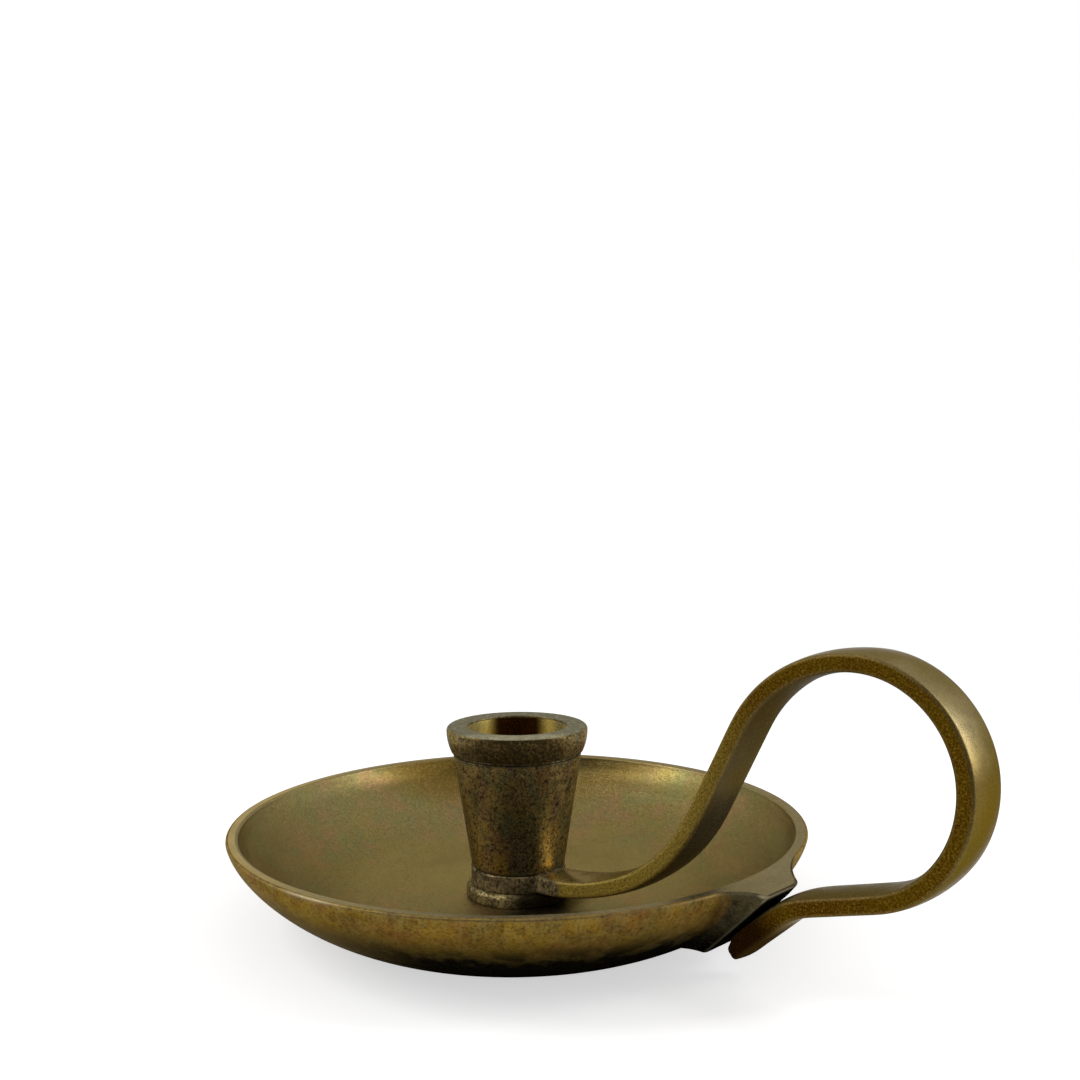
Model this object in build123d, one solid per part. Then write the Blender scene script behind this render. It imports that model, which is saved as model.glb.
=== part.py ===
from build123d import *
from math import cos, radians, sin, tan
import os

# Chamberstick: a round drip pan with a lug on its rim, a candle socket on its centre, and a strap handle with
# a finger loop that is held by its eye under the socket. Millimetres, +Z up, origin on the socket's axis at
# the surface that the pan stands on, +X towards the handle.

# Drip pan
RIM_RADIUS = 64.0
RIM_WIDTH = 2.8
PAN_HEIGHT = 20.0
FOOT_RADIUS = 40.0
FLOOR_RADIUS = 38.0
FLOOR_THICKNESS = 2.9
RIM_LEAN = 1.2
RIM_DROP = 5.9
FOOT_SPREAD = 13.1
FOOT_LIFT = 4.35
BELLY_WALL = 2.0
RIM_EDGE_ROUND = 0.8

# Lug on the rim
LUG_REACH = 7.0
LUG_WIDTH = 13.0
LUG_ROOT_WIDTH = 24.6
LUG_SLOPE = 44.5
LUG_TIP_HEIGHT = 5.9
LUG_RIGHT_CORNER_ROUND = 0.8
LUG_LEFT_CORNER_ROUND = 5.5
LUG_EDGE_ROUND = 0.25

# Seat ring under the handle's eye
RING_RADIUS = 11.7
RING_THICKNESS = 2.8
RING_SHOULDER_ROUND = 1.3

# Handle: its eye, then the strap from the tail's end round the loop to the eye
EYE_RADIUS = 10.6
EYE_THICKNESS = 3.9
EYE_EDGE_ROUND = 0.4
STRAP_WIDTH = 10.4
STRAP_THICKNESS = 3.4
STRAP_EDGE_ROUND = 0.5
TAIL_GAP = 1.0
TAIL_SPLAY = 3.0
TAIL_END_HEIGHT = 6.65
TAIL_RUN = 14.2
TAIL_BEND_RADIUS = 16.0
LOOP_FLOOR_SLOPE = 16.0
LOOP_FLOOR_RUN = 13.1
LOOP_LOWER_RADIUS = 22.0
LOOP_FRONT_RADIUS = 19.7
LOOP_TOP_RADIUS = 27.7
RISER_SLOPE = 62.0
RISE_RADIUS = 40.0
ROOT_SLOPE = 22.0
ROOT_RADIUS = 69.0
ROOT_INSET = 1.0

# Candle socket
SOCKET_FOOT_RADIUS = 10.45
SOCKET_NECK_RADIUS = 14.35
SOCKET_BODY_HEIGHT = 25.2
NECK_GROOVE_HEIGHT = 0.6
NECK_GROOVE_DEPTH = 0.4
COLLAR_RADIUS = 15.85
COLLAR_BASE_RADIUS = 14.8
COLLAR_HEIGHT = 5.6
COLLAR_TOP_ROUND = 0.9
CANDLE_RADIUS = 11.0
CANDLE_CLEARANCE = 0.1
BORE_DEPTH = 17.0
BORE_MOUTH_CHAMFER = 0.5
BORE_POINT_ANGLE = 120.0

# Screw that holds the stack together
SCREW_RADIUS = 2.5
SCREW_HEAD_RADIUS = 4.65
SCREW_HEAD_RIM = 0.3
SCREW_SLOT_WIDTH = 1.2
SCREW_SLOT_DEPTH = 1.1
SCREW_THREAD_RUN = 6.0
SCREW_TIP_ROOM = 0.4
SCREW_CLEARANCE = 0.2
SWIVEL_CLEARANCE = 0.05
HEAD_CLEARANCE = 0.1
HEAD_RECESS = 0.2

# Heights of the stack and of the strap's middle where it leaves the eye, and the slope of the tail
ring_top = FLOOR_THICKNESS + RING_THICKNESS
eye_top = ring_top + EYE_THICKNESS
eye_middle = ring_top + EYE_THICKNESS / 2
tail_slope = LUG_SLOPE - TAIL_SPLAY
neck_height = eye_top + SOCKET_BODY_HEIGHT
collar_base = neck_height + NECK_GROOVE_HEIGHT
socket_top = collar_base + COLLAR_HEIGHT
bore_radius = CANDLE_RADIUS + CANDLE_CLEARANCE
thread_top = eye_top + SCREW_THREAD_RUN
screw_hole_radius = SCREW_RADIUS + SCREW_CLEARANCE


def turned(*edges):
    # A solid of revolution about Z from the edges of its half section: X is the radius, Y the height.
    return revolve(Plane.XZ * make_face(list(edges)), Axis.Z)


def turned_outline(*points):
    # The same from corner points alone.
    return turned(Polyline(*points, close=True))


def wall_curve(rim, foot, belly_radius):
    # The pan's wall in section: steep under the rim, nearly level where it runs into the foot. The belly
    # is the curve's lower handle, so it sets how full the wall is.
    under_rim = (rim[0] - RIM_LEAN, rim[1] - RIM_DROP)
    belly = (belly_radius, foot[1] + FOOT_LIFT)
    return Bezier(rim, under_rim, belly, foot)


def bowl(rim_radius, foot_radius, foot_height, belly_radius):
    # The solid that the wall encloses, from its foot up to the level of the rim.
    rim = (rim_radius, PAN_HEIGHT)
    foot = (foot_radius, foot_height)
    return turned(
        Line((0, PAN_HEIGHT), rim),
        wall_curve(rim, foot, belly_radius),
        Line(foot, (0, foot_height)),
        Line((0, foot_height), (0, PAN_HEIGHT)),
    )


def lug():
    # Its outline at the level of the rim is a tongue that flares into the rim on both sides: each flare is
    # an arc that touches the rim at the root and ends at the tongue's corner. The outline runs down and
    # inwards along the slope, so its outer end becomes the slanted face over the handle's tail.
    corner = Vector(RIM_RADIUS + LUG_REACH, LUG_WIDTH / 2)
    root_y = LUG_ROOT_WIDTH / 2
    root = Vector((RIM_RADIUS**2 - root_y**2) ** 0.5, root_y)
    along = root.normalized().dot(corner)
    flare = (RIM_RADIUS**2 + corner.length**2 - 2 * RIM_RADIUS * along) / (2 * (along - RIM_RADIUS))
    centre = root.normalized() * (RIM_RADIUS + flare)
    outline = make_face(
        Polyline(
            (root.X, -root.Y), (corner.X, -corner.Y), (corner.X, corner.Y), (root.X, root.Y), close=True
        )
    )
    for side in (-1, 1):
        outline -= Pos(centre.X, side * centre.Y) * Circle(flare)
    # The corner on the right is crisp and the one on the left well rounded.
    outline = fillet(outline.vertices().group_by(Axis.X)[-1].sort_by(Axis.Y)[0], LUG_RIGHT_CORNER_ROUND)
    outline = fillet(outline.vertices().group_by(Axis.X)[-1].sort_by(Axis.Y)[-1], LUG_LEFT_CORNER_ROUND)
    run = (PAN_HEIGHT - LUG_TIP_HEIGHT) / sin(radians(LUG_SLOPE))
    down = (-cos(radians(LUG_SLOPE)), 0, -sin(radians(LUG_SLOPE)))
    tongue = extrude(Pos(0, 0, PAN_HEIGHT) * outline, run, dir=down)
    return fillet(tongue.edges().filter_by(Axis.Y).sort_by(Axis.X)[-1], LUG_EDGE_ROUND)


def countersink(radius, clearance, recess):
    # The space of the screw's head with a clearance all round: a thin rim, then a right-angled cone.
    top = recess + SCREW_HEAD_RIM + radius - SCREW_RADIUS
    edge = recess + SCREW_HEAD_RIM
    grown = radius + clearance
    return turned_outline(
        (0, recess - clearance), (grown, recess - clearance), (grown, edge), (SCREW_RADIUS, top + clearance),
        (0, top + clearance),
    )


def drip_pan():
    # The outside follows the inside at the belly, so the wall keeps its thickness when the floor changes.
    belly_radius = FLOOR_RADIUS + FOOT_SPREAD
    hollow = bowl(RIM_RADIUS - RIM_WIDTH, FLOOR_RADIUS, FLOOR_THICKNESS, belly_radius)
    pan = bowl(RIM_RADIUS, FOOT_RADIUS, 0, belly_radius + BELLY_WALL) - hollow
    pan = fillet(pan.edges().group_by(Axis.Z)[-1], RIM_EDGE_ROUND)
    pan += lug() - hollow
    pan -= Cylinder(screw_hole_radius, PAN_HEIGHT)
    pan -= countersink(SCREW_HEAD_RADIUS, HEAD_CLEARANCE, HEAD_RECESS)
    pan -= Cylinder(SCREW_HEAD_RADIUS + HEAD_CLEARANCE, 2 * HEAD_RECESS)
    return pan


def seat_ring():
    base = Pos(0, 0, FLOOR_THICKNESS)
    ring = base * Cylinder(RING_RADIUS, RING_THICKNESS, align=(Align.CENTER, Align.CENTER, Align.MIN))
    ring = fillet(ring.edges().group_by(Axis.Z)[-1], RING_SHOULDER_ROUND)
    return ring - Cylinder(screw_hole_radius, 2 * ring_top)


def strap_steps():
    # The strap's centreline from the tail's end to the eye, as lengths and turns: a run is straight where
    # its turn is 0, and elsewhere its first value is a radius and the turn is in degrees, left positive.
    steps = [
        (TAIL_RUN, 0),
        (TAIL_BEND_RADIUS, LOOP_FLOOR_SLOPE - tail_slope),
        (LOOP_FLOOR_RUN, 0),
        (LOOP_LOWER_RADIUS, 90 - LOOP_FLOOR_SLOPE),
        (LOOP_FRONT_RADIUS, 90),
        (LOOP_TOP_RADIUS, RISER_SLOPE),
    ]
    # The riser is as long as it takes to come down from the loop to the level of the eye.
    riser_top = strap_side(0, steps)[-1] @ 1
    root_drop = ROOT_RADIUS * (1 - cos(radians(ROOT_SLOPE)))
    rise_drop = RISE_RADIUS * (cos(radians(ROOT_SLOPE)) - cos(radians(RISER_SLOPE)))
    riser_run = (riser_top.Y - eye_middle - root_drop - rise_drop) / sin(radians(RISER_SLOPE))
    steps += [(riser_run, 0), (RISE_RADIUS, ROOT_SLOPE - RISER_SLOPE), (ROOT_RADIUS, -ROOT_SLOPE)]
    # The root runs level through the eye and ends inside it, short of its far edge.
    root_start = strap_side(0, steps)[-1] @ 1
    eye_far_side = (EYE_RADIUS**2 - (STRAP_WIDTH / 2) ** 2) ** 0.5
    return steps + [(root_start.X + eye_far_side - ROOT_INSET, 0)]


def strap_side(offset, steps):
    # The strap's edges seen from the side, at a distance to the left of its centreline. The tail starts a
    # gap below the lug's slanted face and splays away from it.
    slope = radians(LUG_SLOPE)
    face_x = RIM_RADIUS + LUG_REACH - (PAN_HEIGHT - TAIL_END_HEIGHT) / tan(slope)
    middle = Vector(face_x + (TAIL_GAP + STRAP_THICKNESS / 2) / sin(slope), TAIL_END_HEIGHT)
    heading = Vector(1, 0).rotate(Axis.Z, tail_slope)
    start = middle + heading.rotate(Axis.Z, 90) * offset
    edges = []
    for size, turn in steps:
        if turn == 0:
            edge = Line(start, start + heading * size)
        elif turn > 0:
            edge = JernArc(start, heading, size - offset, turn)
        else:
            edge = JernArc(start, heading, size + offset, turn)
        edges.append(edge)
        heading = heading.rotate(Axis.Z, turn)
        start = edge @ 1
    return edges


def loop_handle():
    steps = strap_steps()
    left = strap_side(STRAP_THICKNESS / 2, steps)
    right = strap_side(-STRAP_THICKNESS / 2, steps)
    tail_end = Line(left[0] @ 0, right[0] @ 0)
    root_end = Line(left[-1] @ 1, right[-1] @ 1)
    side = make_face([*left, *right, tail_end, root_end])
    strap = extrude(Plane.XZ * side, STRAP_WIDTH / 2, both=True)
    strap = fillet(strap.edges().filter_by(lambda edge: edge.length > STRAP_THICKNESS * 2), STRAP_EDGE_ROUND)
    eye = Pos(0, 0, eye_middle) * Cylinder(EYE_RADIUS, EYE_THICKNESS)
    eye = fillet(eye.edges().filter_by(GeomType.CIRCLE), EYE_EDGE_ROUND)
    return strap + eye - Cylinder(SCREW_RADIUS + SWIVEL_CLEARANCE, 2 * eye_top)


def candle_socket():
    groove_radius = SOCKET_NECK_RADIUS - NECK_GROOVE_DEPTH
    collar_shoulder = socket_top - COLLAR_TOP_ROUND
    collar_mouth = COLLAR_RADIUS - COLLAR_TOP_ROUND
    bore_foot = socket_top - BORE_DEPTH
    bore_point = bore_foot - bore_radius / tan(radians(BORE_POINT_ANGLE / 2))
    mouth = bore_radius + BORE_MOUTH_CHAMFER
    return turned(
        Polyline(
            (SCREW_RADIUS, eye_top), (SOCKET_FOOT_RADIUS, eye_top), (SOCKET_NECK_RADIUS, neck_height),
            (groove_radius, neck_height), (groove_radius, collar_base), (COLLAR_BASE_RADIUS, collar_base),
        ),
        TangentArc(
            (COLLAR_RADIUS, collar_shoulder), (COLLAR_BASE_RADIUS, collar_base), tangent=(0, -1)
        ),
        TangentArc((COLLAR_RADIUS, collar_shoulder), (collar_mouth, socket_top), tangent=(0, 1)),
        Polyline(
            (collar_mouth, socket_top), (mouth, socket_top), (bore_radius, socket_top - BORE_MOUTH_CHAMFER),
            (bore_radius, bore_foot), (0, bore_point), (0, thread_top + SCREW_TIP_ROOM),
            (SCREW_RADIUS, thread_top + SCREW_TIP_ROOM), (SCREW_RADIUS, eye_top),
        ),
    )


def socket_screw():
    head = countersink(SCREW_HEAD_RADIUS, 0, HEAD_RECESS)
    shank = Cylinder(SCREW_RADIUS, thread_top - HEAD_RECESS, align=(Align.CENTER, Align.CENTER, Align.MIN))
    slot = Box(3 * SCREW_HEAD_RADIUS, SCREW_SLOT_WIDTH, 2 * SCREW_SLOT_DEPTH)
    return head + Pos(0, 0, HEAD_RECESS) * shank - Pos(0, 0, HEAD_RECESS) * slot


os.makedirs("parts", exist_ok=True)
for piece in (drip_pan, seat_ring, loop_handle, candle_socket, socket_screw):
    solid = piece()
    export_step(solid, f"parts/{piece.__name__}.step")
    print(piece.__name__, len(solid.solids()), "solid", round(solid.volume, 1), "mm3")
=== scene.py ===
from math import cos, pi, radians, sin, tan

import bpy
import numpy as np
from mathutils import Matrix, Vector


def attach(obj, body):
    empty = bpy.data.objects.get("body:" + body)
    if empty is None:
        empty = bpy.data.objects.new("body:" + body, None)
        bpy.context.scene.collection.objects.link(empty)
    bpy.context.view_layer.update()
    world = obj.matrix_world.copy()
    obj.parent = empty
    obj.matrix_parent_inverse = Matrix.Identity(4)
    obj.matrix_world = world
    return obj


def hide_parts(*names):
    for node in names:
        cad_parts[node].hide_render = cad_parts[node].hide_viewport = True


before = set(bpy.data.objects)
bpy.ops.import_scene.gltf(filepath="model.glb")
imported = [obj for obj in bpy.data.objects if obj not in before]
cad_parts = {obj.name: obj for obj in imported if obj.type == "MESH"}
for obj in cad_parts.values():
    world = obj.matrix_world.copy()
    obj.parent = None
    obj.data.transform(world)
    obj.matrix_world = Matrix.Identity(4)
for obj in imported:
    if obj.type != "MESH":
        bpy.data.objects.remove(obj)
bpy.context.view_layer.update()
mm = 0.001  # sizes below are in millimetres, meshes and materials in metres
print("frame loaded:", ", ".join(sorted(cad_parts)))


# Curves and closed skins, all as whole arrays

def picked(sizes, names):
    # the named sizes in a row
    return [sizes[name] for name in names.split()]


def bezier(handles, steps):
    # cubic: each step t blends the four handles by (1-t)^3, 3t(1-t)^2, 3t^2(1-t) and t^3
    t = np.asarray(steps)[:, None]
    a, b, c, d = np.asarray(handles, float)
    return a * (1 - t) ** 3 + 3 * b * t * (1 - t) ** 2 + 3 * c * t**2 * (1 - t) + d * t**3


def bend(centre, radius, fromAngle, toAngle, count):
    # an arc: centre plus radius times (cos, sin) of an evenly stepped angle, in degrees
    angle = np.radians(np.linspace(fromAngle, toAngle, count))
    return np.asarray(centre) + radius * np.stack([np.cos(angle), np.sin(angle)], -1)


def run(start, end, count):
    # a straight stretch, bunched at both ends so that flat faces stay flat beside a rounded edge
    share = (1 - np.cos(np.linspace(0, pi, count))) / 2
    return np.asarray(start) + share[:, None] * (np.asarray(end, float) - np.asarray(start))


def chain(*stretches):
    # the stretches in a row, without the points that lie on the one before
    points = np.concatenate([np.atleast_2d(stretch) for stretch in stretches])
    apart = np.linalg.norm(np.diff(points, axis=0), axis=1) > 1e-4
    return points[np.concatenate([[True], apart])]


def eased(value, low, high):
    # 0 below low, 1 above high, and 3x^2 - 2x^3 between them
    x = np.clip((np.asarray(value, float) - low) / (high - low), 0, 1)
    return x * x * (3 - 2 * x)


def peak(value, middle, width):
    # 1 at the middle, falling off on both sides: e to the power of -((value - middle) / width)^2
    return np.exp(-((value - middle) / width) ** 2)


def addUp(values):
    # the sums so far, from 0
    return np.concatenate([[0], np.cumsum(values)])


def ringProfile(hole, radius, low, high, upper, lower, counts):
    # a ring's closed section: flat above and below, with both outer edges rounded
    return chain(
        run((hole, high), (radius - upper, high), counts[0]),
        bend((radius - upper, high - upper), upper, 90, 0, counts[1]),
        run((radius, high - upper), (radius, low + lower), counts[2]),
        bend((radius - lower, low + lower), lower, 0, -90, 5),
        run((radius - lower, low), (hole, low), 8),
    )


def makeUneven(grid, depth, free, radius):
    # a slow unevenness, as filing leaves it: four waves round the axis, each drifting with the height, move
    # the grid out from the axis where it is free
    waves = ((3, 0.6, 0.021), (5, 2.1, -0.034), (8, 4.4, 0.057), (13, 1.2, 0.083))
    angle, height = np.arctan2(grid[..., 1], grid[..., 0]), grid[..., 2]
    moved = sum(np.sin(k * angle + phase + drift * height * 2 * pi) for k, phase, drift in waves) / len(waves)
    grid[..., :2] *= 1 + (depth * moved * free / radius)[..., None]


def goRound(profile, angle):
    # a turned surface: each profile point (radius, height) goes round Z to the given angles
    radius, height = profile[:, :1], profile[:, 1:]
    return np.stack([radius * np.cos(angle), radius * np.sin(angle), height + 0 * angle], -1)


def spin(profile, columns):
    # right round, at evenly spaced angles
    return goRound(profile, np.linspace(0, 2 * pi, columns, endpoint=False))


def skin(grid, zones, ring=False, poles=()):
    # a closed skin over a grid of rows x columns: squares between neighbours, with the columns joined up, the
    # rows joined up too where it is a ring, and a fan of triangles to a pole at a row that is an end
    rows, columns = grid.shape[:2]
    points = grid.reshape(-1, 3)
    values = {key: np.broadcast_to(zone, (rows, columns)).ravel() for key, zone in zones.items()}
    row = np.arange(rows if ring else rows - 1)[:, None]
    column = np.arange(columns)[None, :]
    nextRow, nextColumn = (row + 1) % rows, (column + 1) % columns
    corners = np.broadcast_arrays(
        row * columns + column, nextRow * columns + column,
        nextRow * columns + nextColumn, row * columns + nextColumn,
    )
    squares = np.stack(corners, -1).reshape(-1, 4)
    fans = np.empty((0, 3), int)
    for end, pole in poles:
        edge = (end % rows) * columns + np.arange(columns)
        fan = np.stack([edge, np.roll(edge, -1), np.full(columns, len(points))], -1)
        fans = np.vstack([fans, fan if end == 0 else fan[:, ::-1]])
        points = np.vstack([points, pole])
        values = {key: np.append(value, value[edge].mean()) for key, value in values.items()}
    # signed volume of the squares' tetrahedra about the origin: negative means the faces look inwards
    a, b, c, d = (points[squares[:, k]] for k in range(4))
    volume = np.einsum("ij,ij", a, np.cross(b, c)) + np.einsum("ij,ij", a, np.cross(c, d))
    if volume < 0:
        squares, fans = squares[:, ::-1], fans[:, ::-1]
    return points, squares, fans, values


def added(name, data):
    # a new object in the scene
    thing = bpy.data.objects.new(name, data)
    bpy.context.scene.collection.objects.link(thing)
    return thing


def layPiece(name, points, squares, fans, values):
    # the arrays go into a smooth-shaded mesh, with one attribute for each zone
    mesh = bpy.data.meshes.new(name)
    corners = np.concatenate([squares.ravel(), fans.ravel()])
    starts = np.concatenate([np.arange(len(squares)) * 4, len(squares) * 4 + np.arange(len(fans)) * 3])
    mesh.vertices.add(len(points))
    mesh.vertices.foreach_set("co", (points * mm).ravel())
    mesh.loops.add(len(corners))
    mesh.loops.foreach_set("vertex_index", corners)
    mesh.polygons.add(len(starts))
    mesh.polygons.foreach_set("loop_start", starts)
    mesh.update(calc_edges=True)
    mesh.polygons.foreach_set("use_smooth", np.ones(len(starts), bool))
    for zone, value in values.items():
        mesh.attributes.new(zone, "FLOAT", "POINT").data.foreach_set("value", value.astype(np.float32))
    mesh.validate()
    return added(name, mesh)


# Shader maths

class Value:
    # one number that varies over a surface: + - * add Math nodes
    def __init__(self, paint, output):
        self.paint = paint
        self.output = output

    def maths(self, operation, first, second):
        return self.paint.node("ShaderNodeMath", {"operation": operation}, {0: first, 1: second})

    def __add__(self, other):
        return self.maths("ADD", self, other)

    def __sub__(self, other):
        return self.maths("SUBTRACT", self, other)

    def __rsub__(self, other):
        return self.maths("SUBTRACT", other, self)

    def __mul__(self, other):
        return self.maths("MULTIPLY", self, other)

    __radd__ = __add__
    __rmul__ = __mul__


class Paint:
    # the nodes of one material, or of the world, and the looks that a finish takes its numbers from
    def __init__(self, owner, looks=None):
        self.owner = owner
        self.looks = looks
        owner.use_nodes = True
        self.tree = owner.node_tree

    def fill(self, target, sockets):
        for key, value in sockets.items():
            if isinstance(value, Value):
                self.tree.links.new(value.output, target.inputs[key])
            else:
                target.inputs[key].default_value = value

    def node(self, kind, settings, sockets, output=0):
        made = self.tree.nodes.new(kind)
        for key, setting in settings.items():
            setattr(made, key, setting)
        self.fill(made, sockets)
        return Value(self, made.outputs[output])

    def place(self):
        return self.node("ShaderNodeTexCoord", {}, {}, "Object")

    def zone(self, name):
        return self.node("ShaderNodeAttribute", {"attribute_name": name}, {}, "Fac")

    def along(self, axis):
        return self.node("ShaderNodeSeparateXYZ", {}, {0: self.place()}, axis)

    def drawn(self, scale, turn=(0, 0, 0)):
        # the piece's own coordinates, scaled, then turned in degrees
        angles = tuple(radians(angle) for angle in turn)
        sockets = {"Vector": self.place(), "Rotation": angles, "Scale": scale}
        return self.node("ShaderNodeMapping", {}, sockets)

    def noise(self, name, detail, rough, scale=(1, 1, 1), turn=(0, 0, 0)):
        # the looks give the width of one cloud in millimetres
        place, dense = self.drawn(scale, turn), 1 / (self.looks["sizes"][name] * mm)
        sockets = {"Vector": place, "Scale": dense, "Detail": detail, "Roughness": rough}
        return self.node("ShaderNodeTexNoise", {}, sockets)

    def between(self, value, low, high):
        # 0 at low, 1 at high, eased and clamped
        settings = {"interpolation_type": "SMOOTHSTEP"}
        return self.node("ShaderNodeMapRange", settings, {0: value, 1: low, 2: high})

    def span(self, value, name):
        # between the two limits that the looks give in millimetres
        low, high = self.looks["spans"][name]
        return self.between(value, low * mm, high * mm)

    def patches(self, name, low=0.42, high=0.6, detail=4.0, scale=(1, 1, 1), turn=(0, 0, 0)):
        return self.between(self.noise(name, detail, 0.6, scale, turn), low, high)

    def mixed(self, share, first, second):
        # colours, each a tuple or a node's output
        pair = [tone if isinstance(tone, Value) else (*tone, 1) for tone in (first, second)]
        return self.node("ShaderNodeMix", {"data_type": "RGBA"}, {0: share, 6: pair[0], 7: pair[1]}, 2)

    def coated(self, tone, part, **masks):
        # a coat for each mask in turn: the mask times the coat's share, in the coat's colour
        for name, mask in masks.items():
            share, colour = self.looks[part][name]
            tone = self.mixed(mask * share, tone, colour)
        return tone

    def layered(self, part, mask, **masks):
        # the part's two ground colours mixed by the first mask, and its coats over them
        return self.coated(self.mixed(mask, *self.looks[part]["ground"]), part, **masks)

    def bump(self, height):
        # the looks give what a height of 1 stands for in millimetres
        depth = self.looks["relief"] * mm
        return self.node("ShaderNodeBump", {}, {"Height": height, "Distance": depth, "Strength": 1.0})

    def length(self, place):
        return self.node("ShaderNodeVectorMath", {"operation": "LENGTH"}, {0: place}, "Value")

    def finish(self, colour, metal, rough, relief):
        # all the pieces are brass: bare metal mirrors, patina is matt, and both stay dim at a low angle
        self.fill(self.tree.nodes["Principled BSDF"], {
            "Base Color": colour, "Metallic": metal, "Roughness": rough, "Normal": self.bump(relief),
            "Specular Tint": (*self.looks["lowAngleTint"], 1), "Specular IOR Level": 0.0,
        })
        return self.owner

    def cover(self, piece, surface):
        # for the stage: the material ends in a shader of its own
        self.fill(self.tree.nodes["Material Output"], {"Surface": surface})
        piece.data.materials.append(self.owner)


def newPaint(name, looks=None):
    return Paint(bpy.data.materials.new(name), looks)


def scratches(paint, turns, thin):
    # fine straight marks: clouds drawn out forty times along one direction, and only their crests kept
    marks = 0
    for turn in turns:
        crest = paint.noise("marks", 1.0, 0.4, (1, 40, 8), (0, 0, turn))
        marks = marks + paint.between(crest, thin, thin + 0.06)
    return marks


# Drip pan: one casting with its lug

panSizes = {
    "rimRadius": 64.0, "rimWidth": 2.8, "height": 20.0, "edgeRound": 0.65,
    "footRadius": 40.0, "footRound": 0.55, "footInset": 0.2, "footEdge": 1.2, "wallEnd": 0.35,
    "floorRadius": 38.0, "floorThickness": 2.9,
    "rimLean": 1.2, "rimDrop": 5.9, "belly": 51.1, "bellyWall": 2.0, "bellyLift": 4.35,
    "lugReach": 7.0, "lugSlope": 44.5, "lugTip": 5.9, "tipRound": 0.15,
    # half the root's and the end's width, the corner's radius, and what the corner's top has lost
    "lugSides": {"left": (20.0, 6.6, 6.0, 2.2), "right": (12.3, 6.5, 0.9, 0.0)}, "lostDepth": 3.5,
    "screwHole": 2.7, "headHole": 4.75, "headRim": 0.5, "holeRound": 0.15, "holeLand": 0.35,
    "coveSoftness": 7.0, "unevenness": 0.06, "unevenFrom": (1, 4), "unevenTo": (17, 19.5),
    "endColumns": 8, "cornerColumns": 10, "flareColumns": 20, "rimColumns": 172,
    "insideRows": 64, "wallRows": 30, "lowerRows": 16, "wornRows": 2.2, "wornColumns": 2.0,
}


def panOutline(pan, height, radius, inset):
    # The pan from above at given heights, each row a loop of columns, with points as complex numbers. A side
    # runs from the middle of the tongue's end to its corner, an arc that touches the end and the flare, then
    # along the flare, an arc centred outside the rim, and from where that meets the wall round to the back.
    # The tongue slides inwards by (height below the rim) / tan(slope), every edge moves in by the inset, and
    # a corner comes nearer to the middle at the top by what it has lost.
    height, radius, inset = (value[:, None] for value in (height, radius, inset))
    rim, end = pan["rimRadius"], pan["rimRadius"] + pan["lugReach"]
    slide = (pan["height"] - height) / tan(radians(pan["lugSlope"]))
    radius = radius - inset
    counts = picked(pan, "endColumns cornerColumns flareColumns")
    atEnd, atCorner, atFlare = (np.linspace(0, 1, count, endpoint=False) for count in counts)
    atRim = np.linspace(0, 1, pan["rimColumns"] + 1)
    sides = []
    for rootHalf, endHalf, blunt, lost in pan["lugSides"].values():
        rootTurn = np.arcsin(rootHalf / rim)
        endHalf = endHalf - lost * (1 - eased(pan["height"] - height, 0, pan["lostDepth"]))
        along = end * cos(rootTurn) + endHalf * sin(rootTurn)
        flare = (rim**2 + end**2 + endHalf**2 - 2 * rim * along) / (2 * (along - rim))
        centre, arc = (rim + flare) * np.exp(1j * rootTurn) - slide, flare + inset
        reach = np.abs(centre)
        opening = np.clip((reach**2 + radius**2 - arc**2) / (2 * reach * radius), -1, 1)
        rootAngle = np.angle(centre) - np.arccos(opening)
        toAngle = np.angle(radius * np.exp(1j * rootAngle) - centre)
        toAngle = np.where(toAngle > 0, toAngle - 2 * pi, toAngle)
        cornerX = end - slide - blunt
        cornerY = centre.imag - np.sqrt((flare + blunt) ** 2 - (cornerX - centre.real) ** 2)
        corner = cornerX + 1j * cornerY
        turned = np.angle(centre - corner)
        swing = turned - pi + (toAngle - turned + pi) * atFlare
        sides.append(np.hstack([
            cornerX + blunt - inset + 1j * cornerY * atEnd,
            corner + (blunt - inset) * np.exp(1j * turned * atCorner),
            centre + arc * np.exp(1j * swing),
            radius * np.exp(1j * (rootAngle + (pi - rootAngle) * atRim)),
        ]))
    left, right = sides
    loop = np.hstack([left, right[:, -2:0:-1].conj()])
    return np.stack([loop.real, loop.imag], -1)


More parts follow.
